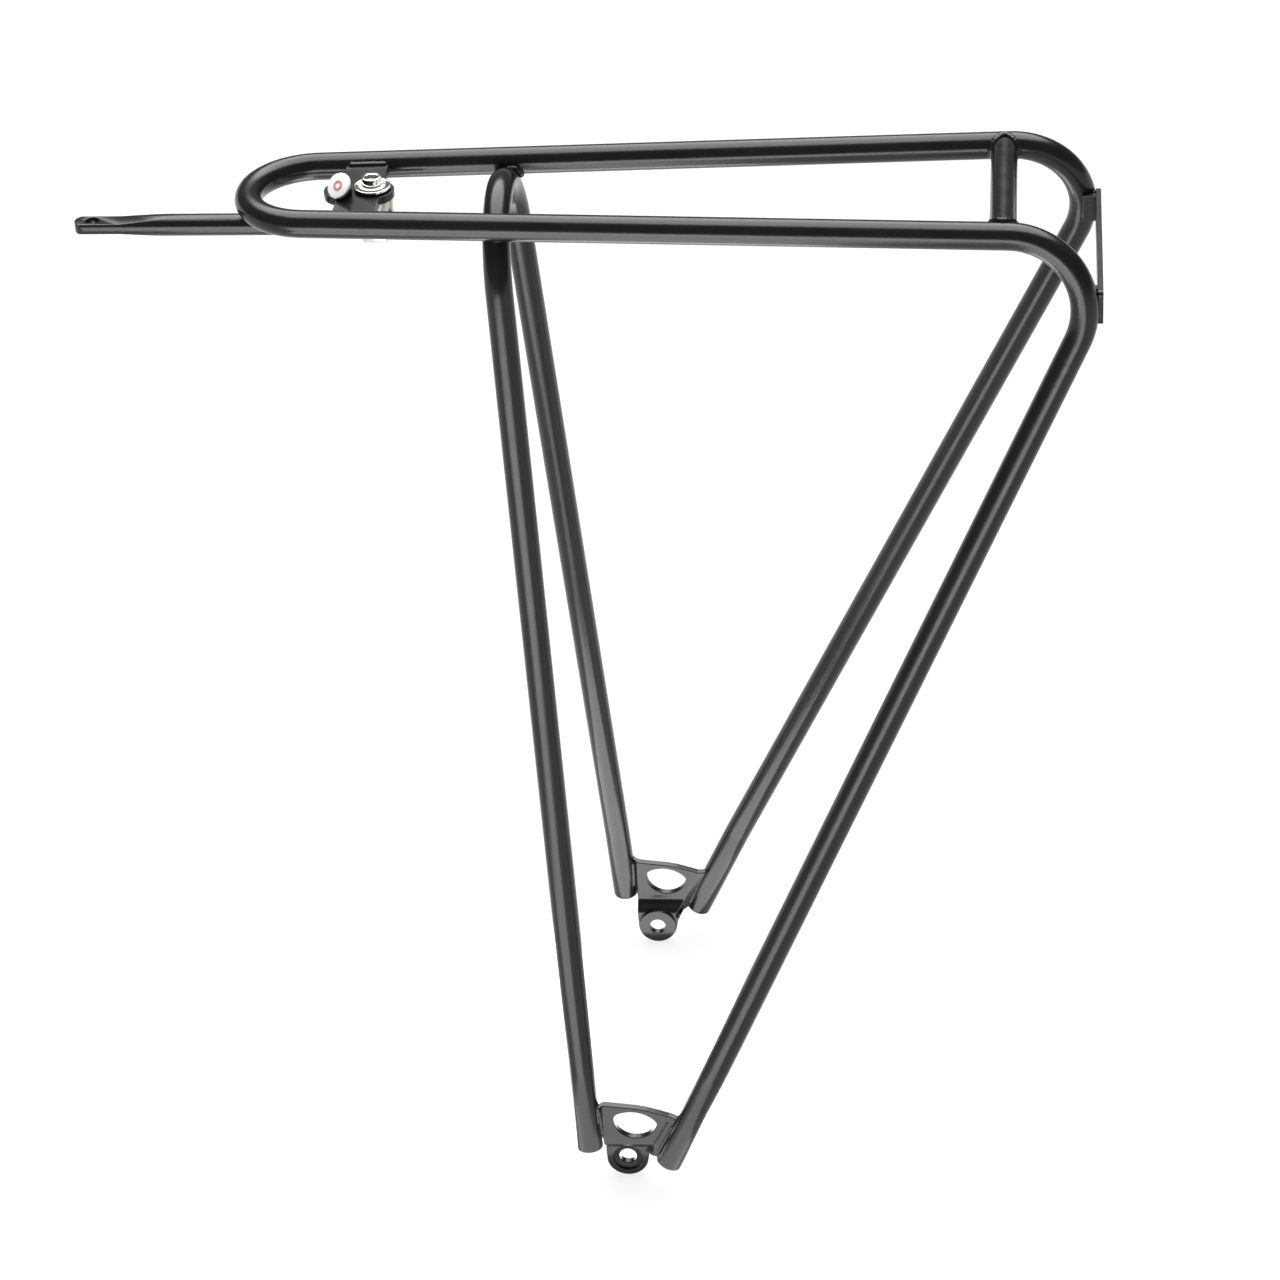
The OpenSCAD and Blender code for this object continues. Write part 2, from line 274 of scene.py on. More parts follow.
def filleted(corners, radii, step=2.0):
    """Points along straight runs between corners, with a true arc at each inner corner."""
    pts = [Vector(corners[0])]
    for i in range(1, len(corners) - 1):
        c = Vector(corners[i])
        a = (Vector(corners[i - 1]) - c).normalized()
        b = (Vector(corners[i + 1]) - c).normalized()
        half = a.angle(b) / 2
        reach = radii[i - 1] / math.tan(half)
        centre = c + (a + b).normalized() * (radii[i - 1] / math.sin(half))
        start, end = c + a * reach - centre, c + b * reach - centre
        turn = start.angle(end)
        count = max(6, int(turn * radii[i - 1] / step))
        for k in range(count + 1):
            t = k / count
            w = (math.sin((1 - t) * turn) * start + math.sin(t * turn) * end) / math.sin(turn)
            pts.append(centre + w)
    pts.append(Vector(corners[-1]))
    return densified(pts)


def densified(pts, longest=12.0):
    """The same path with long runs divided."""
    out = [pts[0]]
    for a, b in zip(pts, pts[1:]):
        if (b - a).length < 1e-6:
            continue
        count = max(1, math.ceil((b - a).length / longest))
        out += [a.lerp(b, k / count) for k in range(1, count + 1)]
    return out


def mirrored(pts):
    return [Vector((p.x, -p.y, p.z)) for p in pts]


def lathe(profile, place, count=64, gap=0):
    """Solid of revolution. profile lists (radius, height) up the axis, place maps it to the frame.

    A gap leaves out that many columns and closes the two cut ends."""
    verts, faces, rows = [], [], []
    for r, h in profile:
        if r < 1e-6:
            rows.append([len(verts)])
            verts.append(place @ Vector((0, 0, h)))
        else:
            rows.append(list(range(len(verts), len(verts) + count)))
            for x, y in circle(r, count):
                verts.append(place @ Vector((x, y, h)))
    loop = rows + ([rows[0]] if profile[0][0] > 1e-6 else [])
    for a, b in zip(loop, loop[1:]):
        for j in range(count - gap):
            k = (j + 1) % count
            quad = [a[j % len(a)], a[k % len(a)], b[k % len(b)], b[j % len(b)]]
            face = list(dict.fromkeys(quad))
            if len(face) > 2:
                faces.append(tuple(face))
    if gap:
        faces.append(tuple(row[0] for row in rows))
        faces.append(tuple(row[count - gap] for row in reversed(rows)))
    return verts, faces


def rounded(profile, radius, steps=4, skip=()):
    """Rounds the corners of a lathe profile that has closed ends, apart from the skipped ones."""
    out = []
    n = len(profile)
    for i, p in enumerate(profile):
        c = Vector(p)
        a = Vector(profile[i - 1]) - c
        b = Vector(profile[(i + 1) % n]) - c
        on_axis = p[0] < 1e-6
        if on_axis or i in skip or a.length < 1e-6 or b.length < 1e-6:
            out.append(tuple(c))
            continue
        reach = min(radius, a.length * 0.45, b.length * 0.45)
        s, e = c + a.normalized() * reach, c + b.normalized() * reach
        for k in range(steps + 1):
            t = k / steps
            out.append(tuple(s * (1 - t) ** 2 + c * 2 * t * (1 - t) + e * t ** 2))
    return out


def arc(cx, cy, r, start, end, count):
    """Points of an arc in the plane, angles in degrees."""
    return [(cx + r * math.cos(math.radians(start + (end - start) * k / count)),
             cy + r * math.sin(math.radians(start + (end - start) * k / count)))
            for k in range(count + 1)]


def wound(loop, sign):
    """The loop turning anticlockwise for sign 1, clockwise for -1."""
    area = sum(a[0] * b[1] - b[0] * a[1] for a, b in zip(loop, [*loop[1:], loop[0]]))
    return loop if area * sign > 0 else loop[::-1]


def plate_mesh(name, outline, holes, thickness, edge, place):
    """Flat plate with rounded edges, from closed outlines, centred on its mid-plane."""
    curve = bpy.data.curves.new(name, "CURVE")
    curve.dimensions = "2D"
    curve.fill_mode = "BOTH"
    curve.extrude = thickness / 2 - edge
    curve.bevel_depth = edge
    curve.bevel_resolution = 3
    curve.offset = -edge
    for loop in [wound(outline, 1), *(wound(hole, -1) for hole in holes)]:
        spline = curve.splines.new("POLY")
        spline.points.add(len(loop) - 1)
        for point, (x, y) in zip(spline.points, loop):
            point.co = (x, y, 0, 1)
        spline.use_cyclic_u = True
    obj = bpy.data.objects.new(name, curve)
    bpy.context.scene.collection.objects.link(obj)
    bpy.context.view_layer.update()
    mesh = bpy.data.meshes.new_from_object(obj.evaluated_get(bpy.context.evaluated_depsgraph_get()))
    bpy.data.objects.remove(obj)
    bm = bmesh.new()
    bm.from_mesh(mesh)
    bmesh.ops.remove_doubles(bm, verts=bm.verts, dist=1e-4)
    bmesh.ops.transform(bm, matrix=Matrix.Scale(MM, 4) @ place, verts=bm.verts)
    bmesh.ops.recalc_face_normals(bm, faces=bm.faces)
    bm.to_mesh(mesh)
    bm.free()
    mesh.shade_smooth()
    mesh.set_sharp_from_angle(angle=math.radians(50))
    return mesh


def bevelled_copy(node, name, width, segments=3):
    """The CAD piece's mesh as one skin with its sharp edges rounded."""
    bm = bmesh.new()
    bm.from_mesh(frame["nodes"][node].data)
    bmesh.ops.remove_doubles(bm, verts=bm.verts, dist=2e-6)
    bmesh.ops.dissolve_limit(bm, angle_limit=math.radians(0.6), verts=bm.verts, edges=bm.edges,
                             use_dissolve_boundaries=False)
    sharp = [e for e in bm.edges if e.is_manifold and e.calc_face_angle() > math.radians(32)]
    bmesh.ops.bevel(bm, geom=sharp, offset=width * MM, segments=segments, profile=0.5,
                    affect="EDGES", clamp_overlap=True)
    mesh = bpy.data.meshes.new(name)
    bm.to_mesh(mesh)
    bm.free()
    mesh.shade_smooth()
    mesh.set_sharp_from_angle(angle=math.radians(40))
    return mesh


def bevelled_piece(name, node, width, material, body):
    make_object(name, bevelled_copy(node, name, width), material, body, [node])


def turned_piece(name, profile, place, smooth_angle, material, body, node, count, gap=0):
    """Piece of revolution in place of a CAD node."""
    verts, faces = lathe(profile, place, count, gap)
    make_object(name, mesh_from(name, verts, faces, smooth_angle), material, body, [node])


def smooth_normals(obj):
    """Area-weighted shading, so flat faces stay flat beside their rounded edges."""
    m = obj.modifiers.new("even_shading", "WEIGHTED_NORMAL")
    m.keep_sharp = True
    m.weight = 80


def bead(path, radius, closed=False, flatten=0.8, pitch=1.3):
    """Weld bead along a path: overlapping ripples with slightly uneven width."""
    pts = [Vector(p) for p in path]
    if closed:
        pts.append(pts[0].copy())
    fine = densified(pts, 0.3)
    if closed:
        fine = fine[:-1]
    run, lengths = 0.0, []
    for i, p in enumerate(fine):
        run += (p - fine[i - 1]).length if i else 0
        lengths.append(run)
    phase = RNG.random()
    waves = [RNG.uniform(0.93, 1.07) for _ in range(int(run / pitch) + 3)]

    def section(i):
        s = lengths[i] / pitch + phase
        ripple = 1 + 0.09 * (1 - (s % 1.0)) ** 1.5
        r = radius * ripple * waves[int(s)]
        if not closed:
            ends = min(lengths[i], run - lengths[i])
            r *= min(1.0, 0.25 + 0.75 * math.sqrt(max(ends, 0) / radius))
        return [(x * r, y * r * flatten) for x, y in circle(1, 14)]

    return sweep(fine, section, closed)


# ---------------------------------------------------------------- materials

def node_material(name):
    material = bpy.data.materials.new(name)
    material.use_nodes = True
    tree = material.node_tree
    tree.nodes.clear()
    out = tree.nodes.new("ShaderNodeOutputMaterial")
    shader = tree.nodes.new("ShaderNodeBsdfPrincipled")
    tree.links.new(shader.outputs["BSDF"], out.inputs["Surface"])
    coords = tree.nodes.new("ShaderNodeTexCoord")
    return material, tree, shader, coords


def noise(tree, coords, scale, detail=3.0, rough=0.5):
    node = tree.nodes.new("ShaderNodeTexNoise")
    node.inputs["Scale"].default_value = scale
    node.inputs["Detail"].default_value = detail
    node.inputs["Roughness"].default_value = rough
    tree.links.new(coords.outputs["Object"], node.inputs["Vector"])
    return node


def ramp(tree, source, stops):
    node = tree.nodes.new("ShaderNodeValToRGB")
    elements = node.color_ramp.elements
    while len(elements) < len(stops):
        elements.new(0.5)
    for element, (at, value) in zip(elements, stops):
        element.position = at
        element.color = (*value, 1) if isinstance(value, tuple) else (value, value, value, 1)
    tree.links.new(source, node.inputs["Fac"])
    return node


def bump(tree, height, strength, distance, shader, under=None):
    node = tree.nodes.new("ShaderNodeBump")
    node.inputs["Strength"].default_value = strength
    node.inputs["Distance"].default_value = distance
    tree.links.new(height, node.inputs["Height"])
    if under is not None:
        tree.links.new(under.outputs["Normal"], node.inputs["Normal"])
    tree.links.new(node.outputs["Normal"], shader.inputs["Normal"])
    return node


def powder_coat(name, low, high, rough_low, rough_high, peel=0.12):
    """Satin powder coat: faint cloudiness, uneven gloss and a fine orange peel."""
    material, tree, shader, coords = node_material(name)
    cloud = noise(tree, coords, 45, 4)
    tree.links.new(ramp(tree, cloud.outputs["Fac"], [(0.3, low), (0.7, high)]).outputs["Color"],
                   shader.inputs["Base Color"])
    gloss = noise(tree, coords, 160, 3)
    sheen = ramp(tree, gloss.outputs["Fac"], [(0.3, rough_low), (0.7, rough_high)])
    tree.links.new(sheen.outputs["Color"], shader.inputs["Roughness"])
    peel_noise = noise(tree, coords, 900, 2)
    grain = noise(tree, coords, 5200, 2)
    first = bump(tree, grain.outputs["Fac"], peel * 0.5, 0.00003, shader)
    bump(tree, peel_noise.outputs["Fac"], peel, 0.0002, shader, first)
    shader.inputs["Specular IOR Level"].default_value = 0.3
    return material


def metal(name, low, high, rough_low, rough_high, scale, stretch, strength):
    """Bare metal with fine turning or brushing lines."""
    material, tree, shader, coords = node_material(name)
    shader.inputs["Metallic"].default_value = 1.0
    mapping = tree.nodes.new("ShaderNodeMapping")
    mapping.inputs["Scale"].default_value = stretch
    tree.links.new(coords.outputs["Object"], mapping.inputs["Vector"])
    lines = tree.nodes.new("ShaderNodeTexNoise")
    lines.inputs["Scale"].default_value = scale
    lines.inputs["Detail"].default_value = 4
    tree.links.new(mapping.outputs["Vector"], lines.inputs["Vector"])
    cloud = noise(tree, coords, 260, 3)
    tree.links.new(ramp(tree, cloud.outputs["Fac"], [(0.3, low), (0.7, high)]).outputs["Color"],
                   shader.inputs["Base Color"])
    sheen = ramp(tree, lines.outputs["Fac"], [(0.3, rough_low), (0.7, rough_high)])
    tree.links.new(sheen.outputs["Color"], shader.inputs["Roughness"])
    bump(tree, lines.outputs["Fac"], strength, 0.00005, shader)
    return material


PAINT = powder_coat("satin_black_powder_coat", (0.0058, 0.0058, 0.0061), (0.0082, 0.0082, 0.0086),
                    0.18, 0.24)
WELD_PAINT = powder_coat("powder_coat_over_weld", (0.0068, 0.0068, 0.0071), (0.0095, 0.0095, 0.0099),
                         0.19, 0.27, 0.2)
SEAT = powder_coat("moulded_black_plastic", (0.012, 0.012, 0.012), (0.018, 0.018, 0.018), 0.42, 0.55, 0.2)
WHITE = powder_coat("white_enamel", (0.80, 0.80, 0.79), (0.88, 0.88, 0.87), 0.16, 0.24, 0.03)
MARK = powder_coat("pale_red_enamel", (0.60, 0.22, 0.22), (0.68, 0.28, 0.27), 0.2, 0.3, 0.03)
STAINLESS = metal("turned_stainless_steel", (0.50, 0.48, 0.43), (0.60, 0.575, 0.52), 0.2, 0.36, 900,
                  (1, 1, 8), 0.12)
BRIGHT = metal("bright_polished_steel", (0.74, 0.74, 0.71), (0.84, 0.84, 0.81), 0.08, 0.17, 1300,
               (1, 1, 6), 0.05)


# ---------------------------------------------------------------- tubes

def rail_y(x):
    return LOOP_R / math.cos(RAIL_SPREAD) + math.tan(RAIL_SPREAD) * (x - LOOP_X)


def main_path():
    """Centreline from the left rear foot over the loop to the right rear foot."""
    rail_start = Vector((LOOP_X - LOOP_R * math.sin(RAIL_SPREAD), LOOP_R * math.cos(RAIL_SPREAD),
                         RAIL_Z))
    corner = Vector((CORNER_X, rail_y(CORNER_X), RAIL_Z))
    end = shortened(REAR_KNEE, REAR_END)
    right = filleted([rail_start, corner, Vector(REAR_KNEE), end], [BEND_R, KNEE_R])
    first = math.degrees(math.pi / 2 + RAIL_SPREAD)
    loop = [Vector((x, y, RAIL_Z)) for x, y in
            arc(LOOP_X, 0, LOOP_R, 360 - first, first, 48)]
    return list(reversed(mirrored(right))) + loop[1:-1] + right


def shortened(before, end):
    """The leg's end point, short of the cap's height."""
    before, end = Vector(before), Vector(end)
    return end - (end - before).normalized() * CAP_H


def hoop_directions():
    up = Vector((-math.sin(HOOP_LEAN), 0, math.cos(HOOP_LEAN)))
    middle = Vector(CROWN_TOP) - CROWN_R * up
    return middle, up


def front_knee():
    middle, up = hoop_directions()
    start = middle + CROWN_R * (math.cos(HOOP_SPLAY) * Vector((0, 1, 0)) + math.sin(HOOP_SPLAY) * up)
    down = math.sin(HOOP_SPLAY) * Vector((0, 1, 0)) - math.cos(HOOP_SPLAY) * up
    return start, start + down * (start.z - FRONT_KNEE_Z) / abs(down.z)


def hoop_path():
    """Centreline from the left front foot over the crown to the right front foot."""
    middle, up = hoop_directions()
    start, knee = front_knee()
    right = filleted([start, knee, shortened(knee, FRONT_END)], [KNEE_R])
    splay = math.degrees(HOOP_SPLAY)
    crown = [middle + y * Vector((0, 1, 0)) + z * up for y, z in
             arc(0, 0, CROWN_R, 180 - splay, splay, 48)]
    return list(reversed(mirrored(right))) + crown[1:-1] + right


def tube(name, path, radius, node):
    verts, faces = sweep(path, lambda i: circle(radius, 56))
    make_object(name, mesh_from(name, verts, faces, 60), PAINT, "frame", [node])


MAIN = main_path()
HOOP = hoop_path()
tube("main_tube_bent", MAIN, TUBE_R, "main_tube")
tube("front_hoop_bent", HOOP, TUBE_R, "front_hoop")

half = rail_y(CROSSBAR_X)
tube("rear_crossbar_tube",
     densified([Vector((CROSSBAR_X, -half + 1.5, RAIL_Z)), Vector((CROSSBAR_X, half - 1.5, RAIL_Z))]),
     CROSSBAR_R, "rear_crossbar")


# ---------------------------------------------------------------- tube end caps

def axis_place(origin, direction):
    return Matrix.Translation(origin) @ Vector(direction).to_track_quat("Z", "Y").to_matrix().to_4x4()


CAP_PROFILE = rounded([(0, -CAP_SPIGOT_H), (CAP_SPIGOT_R, -CAP_SPIGOT_H), (CAP_SPIGOT_R, 0),
                       (CAP_EDGE_R, 0), (CAP_EDGE_R, CAP_H), (0, CAP_H)], 0.9, 6, skip=(1, 2, 3))
for path, end_name, side in ((MAIN, "rear", "left"), (MAIN[::-1], "rear", "right"),
                             (HOOP, "front", "left"), (HOOP[::-1], "front", "right")):
    node = f"{side}_{end_name}_end_cap"
    verts, faces = lathe(CAP_PROFILE, axis_place(path[0], path[0] - path[1]))
    make_object(node + "_rounded", mesh_from(node, verts, faces, 40), PAINT, "frame",
                [node])


# ---------------------------------------------------------------- foot plates

def leg_at(path, z):
    """X and Y of a right leg's centreline at a height, from its foot end upwards."""
    for a, b in zip(path[::-1], path[::-1][1:]):
        if a.z <= z <= b.z:
            return [a[k] + (b[k] - a[k]) * (z - a.z) / (b.z - a.z) for k in (0, 1)]
    return [path[-1].x, path[-1].y]


def foot_outline():
    """Side view of the plate, running a little into both legs."""
    bury = 3.2
    rear = [(leg_at(MAIN, z)[0] - bury, z) for z in (5.3, 8.5, 12, 16, 20)]
    front = [(leg_at(HOOP, z)[0] + bury, z) for z in (26, 22, 18, 14.6)]
    outline = arc(0, 0, TONGUE_R, 190, 352, 44)
    outline += [(8.3, 1.0), (8.8, 2.6), (9.5, 3.9), (10.6, 4.7), (12.0, 5.0)]
    outline += rear + FOOT_TOP + front
    outline += [(-9, 14.4), (-8.5, 13), (-8.3, 11), (-8.2, 6), (-8.1, 2.4)]
    return outline


def moon_hole():
    """Half-moon lightening hole: a round lower edge under a flatter upper one, corners eased."""
    pts = []
    for k in range(MOON_POINTS):
        a = math.tau * k / MOON_POINTS
        d = Vector((math.cos(a), math.sin(a)))
        reach = []
        for cx, cz, r in MOON_CIRCLES:
            o = Vector((MOON_MIDDLE[0] - cx, MOON_MIDDLE[1] - cz))
            b = o.dot(d)
            reach.append(-b + math.sqrt(b * b - o.dot(o) + r * r))
        pts.append((MOON_MIDDLE[0] + d.x * min(reach), MOON_MIDDLE[1] + d.y * min(reach)))
    for _ in range(4):
        pts = [tuple(0.25 * before[k] + 0.5 * here[k] + 0.25 * after[k] for k in (0, 1))
               for before, here, after in zip([pts[-1], *pts], pts, [*pts[1:], pts[0]])]
    return pts


def eased(t):
    t = max(0.0, min(1.0, t))
    return t * t * (3 - 2 * t)


def past(d, soft=0.5):
    """Distance past a crease, eased at the crease itself."""
    return 0.5 * (d + math.sqrt(d * d + soft * soft))


def set_over(x, z):
    """How far a point of the sheet is pressed outboard: tongue inboard, side strips outboard."""
    (x0, z0), (x1, z1) = REAR_CREASE
    rear = ((x - x0) * (z1 - z0) - (z - z0) * (x1 - x0)) / math.hypot(x1 - x0, z1 - z0)
    strip = eased((rear + 0.6) / 2.2) * eased((z - 3.4) / 2.0)
    inboard = (PANEL_Y - TONGUE_Y) * eased((JOGGLE_HIGH - z) / (JOGGLE_HIGH - JOGGLE_LOW)) * (1 - strip)
    front = 1.15 * min(past(FRONT_CREASE_X - x), 2.4) * eased((z - 6.0) / 5.0)
    return front + 0.48 * min(past(rear), 6.0) * eased((z - 3.4) / 2.0) - inboard


def foot_plate(side):
    """Pressed sheet between the legs: panel, joggled tongue, washer boss and dished recess."""
    name = f"{side}_foot_plate_pressed"
    sign = 1 if side == "right" else -1
    # plane X, Z with the thickness along Y
    place = Matrix(((1, 0, 0, 0), (0, 0, 1, PANEL_Y + FOOT_T / 2), (0, 1, 0, 0), (0, 0, 0, 1)))
    mesh = plate_mesh(name, foot_outline(), [moon_hole(), circle(RECESS_R, 64)], FOOT_T, 0.45, place)
    bm = bmesh.new()
    bm.from_mesh(mesh)
    (x0, z0), (x1, z1) = REAR_CREASE
    across = Vector((z1 - z0, 0, x0 - x1)).normalized()
    cuts = [(Vector((0, 0, z)), Vector((0, 0, 1))) for z in np.arange(3.2, JOGGLE_HIGH + 0.6, 0.4)]
    cuts += [(Vector((0, 0, z)), Vector((0, 0, 1))) for z in np.arange(12.0, 28.0, 2.0)]
    cuts += [(Vector((x, 0, 0)), Vector((1, 0, 0))) for x in FRONT_CREASE_X + np.arange(-1.6, 1.3, 0.3)]
    cuts += [(Vector((x0, 0, z0)) + across * float(d), across)
             for d in (-1, -0.6, -0.3, 0, 0.3, 0.6, 1, 1.5, 2.2, 3.2, 4.4)]
    for at, normal in cuts:
        bmesh.ops.bisect_plane(bm, geom=bm.verts[:] + bm.edges[:] + bm.faces[:], dist=1e-7,
                               plane_co=at * MM, plane_no=normal)
    for v in bm.verts:
        x, z = v.co.x / MM, v.co.z / MM
        v.co.y += set_over(x, z) * MM
    bm.to_mesh(mesh)
    bm.free()
    # eyelet washer: boss inboard, recess floor outboard, its rim buried in the sheet
    boss = TONGUE_Y - BOSS_H
    buried = TONGUE_Y + 0.6
    wall = RECESS_R + 0.25
    recess = TONGUE_Y + FOOT_T - RECESS_DEPTH
    ring = rounded([(FOOT_HOLE_R, boss), (BOSS_R, boss), (BOSS_R, buried), (wall, buried),
                    (wall, recess + 0.5), (FOOT_HOLE_R, recess)], 0.45, 5, skip=(2, 3, 4))
    verts, faces = lathe(ring, Matrix.Rotation(-math.pi / 2, 4, "X"))
    whole = joined(name, [mesh, mesh_from(name + "_boss", verts, faces, 35)])
    if sign < 0:
        whole.transform(Matrix.Scale(-1, 4, (0, 1, 0)))
        whole.flip_normals()
    whole.shade_smooth()
    whole.set_sharp_from_angle(angle=math.radians(50))
    smooth_normals(make_object(name, whole, PAINT, "frame", [f"{side}_foot_plate"]))


for side in ("left", "right"):
    foot_plate(side)


# ---------------------------------------------------------------- stay bracket

def bracket_outline():
    y = rail_y(-85) - 4.0
    left, right = BRACKET_X
    lobe_l, lobe_r = (-90.2, 8.0), (CLAMP_X, 7.8)
    a = math.degrees(math.acos((left - lobe_l[0]) / lobe_l[1]))
    b = math.degrees(math.acos((right - lobe_r[0]) / lobe_r[1]))
    pts = [(left, -y), (right, -y)]
    pts += arc(lobe_r[0], 0, lobe_r[1], -b, b, 36)
    pts += [(right, y), (left, y)]
    pts += arc(lobe_l[0], 0, lobe_l[1], a, 360 - a, 36)
    return pts


stud_hole = [(CLAMP_X + x, y) for x, y in circle(STUD_R + FIT, 40)]
mesh = plate_mesh("stay_bracket_plate", bracket_outline(), [stud_hole], BRACKET_T, 0.35,
                  Matrix.Translation((0, 0, BRACKET_Z - BRACKET_T / 2)))
smooth_normals(make_object("stay_bracket_plate", mesh, PAINT, "frame", ["stay_bracket"]))


# ---------------------------------------------------------------- light plate

def light_outline():
    """Long rectangle with rounded corners."""
    x, y = LIGHT_HALF - LIGHT_CORNER, LIGHT_H / 2 - LIGHT_CORNER
    pts = []
    for cx, cy, start in ((x, -y, 270), (x, y, 0), (-x, y, 90), (-x, -y, 180)):
        pts += arc(cx, cy, LIGHT_CORNER, start, start + 90, 8)
    return pts


light_place = Matrix(((0, 0, 1, LIGHT_X - LIGHT_T / 2), (1, 0, 0, 0), (0, 1, 0, LIGHT_Z), (0, 0, 0, 1)))
light_holes = [[(s * LIGHT_PITCH / 2 + x, y) for x, y in circle(LIGHT_HOLE_R, 40)] for s in (-1, 1)]
mesh = plate_mesh("light_plate_sheet", light_outline(), light_holes, LIGHT_T, 0.3, light_place)
smooth_normals(make_object("light_plate_sheet", mesh, PAINT, "frame", ["light_plate"]))


for side, sign in (("left", -1), ("right", 1)):
    (x0, x1), (z0, z1) = SPACER_X, SPACER_Z
    tab = [(x0, z0), (x1 + 0.2, z0), (x1 + 0.2, z1), (x0, z1)]
    place = Matrix(((1, 0, 0, 0), (0, 0, 1, sign * sum(SPACER_Y) / 2), (0, 1, 0, 0), (0, 0, 0, 1)))
    name = f"{side}_spacer_tab"
    mesh = plate_mesh(name, tab, [], SPACER_Y[1] - SPACER_Y[0], 0.3, place)
    smooth_normals(make_object(name, mesh, PAINT, "frame", [f"{side}_plate_spacer"]))


# ---------------------------------------------------------------- badge

badge_place = (Matrix.Translation(BADGE_AT) @ Matrix.Rotation(BADGE_TURN, 4, "Z")
               @ Matrix.Rotation(-BADGE_LEAN, 4, "Y"))
disc = rounded([(0, 0), (BADGE_R, 0), (BADGE_R, BADGE_T - 0.15), (BADGE_FLAT_R, BADGE_T), (0, BADGE_T)],
               0.45, 5, skip=(1,))
turned_piece("badge_disc_domed", disc, badge_place, 40, WHITE, "frame", "badge_disc", 96)
mark_low, mark_high = BADGE_T - 0.1, BADGE_T + 0.18
ring = rounded([(MARK_R[0], mark_low), (MARK_R[1], mark_low), (MARK_R[1], mark_high),
                (MARK_R[0], mark_high)], 0.12, 4)
turned_piece("badge_ring_mark", ring, badge_place, 40, MARK, "frame", "badge_ring", 96)
bevelled_piece("badge_seat_moulded", "badge_seat", 0.3, SEAT, "frame")


# ---------------------------------------------------------------- clamp hardware

clamp_place = Matrix.Translation((CLAMP_X, 0, 0))
washer_top = WASHER_Z + WASHER_T
cup = rounded([(STUD_R, WASHER_Z), (WASHER_FLAT_R, WASHER_Z), (WASHER_R, WASHER_Z + 0.6),
               (WASHER_R, WASHER_Z + 1.5), (6.0, WASHER_Z + 1.5), (WASHER_FLAT_R, washer_top),
               (STUD_R, washer_top)], 0.2, 4)
turned_piece("cup_washer_turned", cup, clamp_place, 35, BRIGHT, "clamp", "cup_washer", 72)

lock_top = LOCK_Z + LOCK_T
split = rounded([(STUD_R, LOCK_Z), (LOCK_R, LOCK_Z), (LOCK_R, lock_top), (STUD_R, lock_top)], 0.2, 4)
split_place = clamp_place @ Matrix.Rotation(math.radians(3.8), 4, "Z")
turned_piece("lock_washer_split", split, split_place, 35, STAINLESS, "clamp", "lock_washer",
             96, 2)

nut_place = Matrix.Translation((CLAMP_X, 0, NUT_Z + NUT_H / 2))
nut = plate_mesh("nut_shell", circle(NUT_R, 72), [circle(SOCKET_R, 6)], NUT_H, 0.35, nut_place)
socket_low = SOCKET_FLOOR - SOCKET_FLOOR_T
verts, faces = lathe([(0, socket_low), (2.5, socket_low), (2.5, SOCKET_FLOOR), (0, SOCKET_FLOOR)],
                     Matrix.Translation((CLAMP_X, 0, NUT_Z)), 48)
nut = joined("clamp_nut_socketed", [nut, mesh_from("nut_floor", verts, faces, 35)])
nut.shade_smooth()
nut.set_sharp_from_angle(angle=math.radians(50))
smooth_normals(make_object("clamp_nut_socketed", nut, BRIGHT, "nut", ["clamp_nut"]))

bevelled_piece("clamp_sleeve_turned", "clamp_sleeve", 0.25, STAINLESS, "clamp")
bevelled_piece("eye_bolt_forged", "eye_bolt", 0.3, STAINLESS, "clamp")
bevelled_piece("stay_rod", "stay", 0.35, PAINT, "stay")


# ---------------------------------------------------------------- welds

def weld(name, beads):
    """One piece from several beads, each given as path, radius and whether it closes."""
    meshes = []
    for path, radius, closed in beads:
        verts, faces = bead(path, radius, closed)
        meshes.append(mesh_from(name + "_bead", verts, faces, 50))
    mesh = joined(name, meshes)
    mesh.shade_smooth()
    make_object(name, mesh, WELD_PAINT, "frame")


def crossbar_seam(sign, radius=5.0, proud=0.3):
    """Where the crossbar's skin meets the rail's."""
    pts = []
    for k in range(72):
        a = math.tau * k / 72
        x = CROSSBAR_X + radius * math.cos(a)
        rise = radius * math.sin(a)
        y = rail_y(x) - math.sqrt((TUBE_R + proud) ** 2 - rise ** 2)
        pts.append(Vector((x, sign * y, RAIL_Z + rise)))
    return pts


def crown_seam(sign, proud=0.25):
    """Saddle curve round the place where the crown nests against a rail."""
    middle, _ = hoop_directions()
    x = middle.x
    rail = Vector((x, sign * rail_y(x), RAIL_Z))
    out = rail - middle
    out.x = 0
    apart = out.length - CROWN_R
    out.normalize()
    along = Vector((1, 0, 0))
    across = along.cross(out)
    r = TUBE_R + proud
    pts = []
    for k in range(64):
        a = math.tau * k / 64
        low, high = 0.0, r
        for _ in range(40):
            reach = (low + high) / 2
            fits = (math.sqrt(r * r - (reach * math.cos(a)) ** 2)
                    + math.sqrt(r * r - (reach * math.sin(a)) ** 2)) > apart
            low, high = (reach, high) if fits else (low, reach)
        u, v = low * math.cos(a), low * math.sin(a)
        height = math.sqrt(r * r - u * u)
        pts.append(middle + out * (CROWN_R + height) + along * u + across * v)
    return pts


def bracket_seam(sign, z):
    """Line where a face of the bracket meets the rail."""
    drop = math.sqrt(TUBE_R ** 2 - (z - RAIL_Z) ** 2)
    return [Vector((x, sign * (rail_y(x) - drop - 0.2), z))
            for x in (BRACKET_X[0] + 0.6, BRACKET_X[1] - 0.6)]


